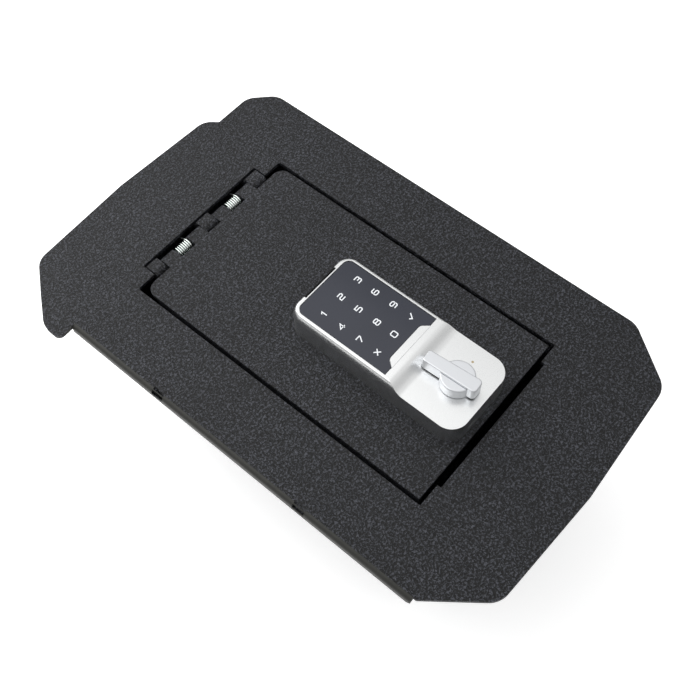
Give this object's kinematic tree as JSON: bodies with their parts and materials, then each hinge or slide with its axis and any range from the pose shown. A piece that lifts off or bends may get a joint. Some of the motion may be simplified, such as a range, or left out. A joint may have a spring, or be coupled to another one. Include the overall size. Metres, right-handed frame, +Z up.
{
  "type": "console safe",
  "caption": "Flat steel top plate over a welded box, with a hinged door that carries a keypad lock and a turning knob.",
  "frame": {"origin": "under the middle of the top plate's outline, on the plane that the box's floor stands on", "axes": "+X along the hinge pin, +Y from the lock's knob to the hinge, +Z up, out of the door"},
  "size_m": [0.2353, 0.3664, 0.1673],
  "materials": {
    "textured_black": "textured",
    "zinc_plate": "satin",
    "plain_steel": "satin",
    "satin_silver": "satin",
    "dark_glass": "gloss",
    "black_plastic": "matte"
  },
  "bodies": {
    "box": {"top_plate": "textured_black", "box_channel": "textured_black", "box_front_wall": "textured_black", "box_rear_wall": "textured_black", "door_ledge_left": "textured_black", "door_ledge_right": "textured_black", "latch_strike": "textured_black", "hinge_knuckle_1": "textured_black", "hinge_knuckle_2": "textured_black", "hinge_knuckle_3": "textured_black", "hinge_pin": "plain_steel", "hinge_spring_1": "zinc_plate", "hinge_spring_2": "zinc_plate"},
    "door": {"door_panel": "textured_black", "lock_floor": "black_plastic", "lock_housing": "satin_silver", "keypad_glass": "dark_glass", "battery_cap": "black_plastic", "lock_backplate": "zinc_plate", "sleeve_nut": "zinc_plate", "lock_screw_1": "zinc_plate", "lock_screw_2": "zinc_plate", "lock_screw_3": "zinc_plate", "lock_screw_4": "zinc_plate"},
    "knob": {"knob": "satin_silver", "spindle": "plain_steel", "latch_cam": "zinc_plate", "cam_screw": "zinc_plate"}
  },
  "joints": [
    {"name": "door_hinge", "type": "hinge", "parent": "box", "child": "door", "pos_m": [0, 0.1162, 0.1353], "axis": [-1, 0, 0], "range_deg": [0, 93], "stiffness_Nm_per_rad": 0.4, "springref_deg": 92.99},
    {"name": "knob_turn", "type": "hinge", "parent": "door", "child": "knob", "pos_m": [0.00655, -0.0861, 0.157], "axis": [0, 0, -1], "range_deg": [0, 90]}
  ]
}
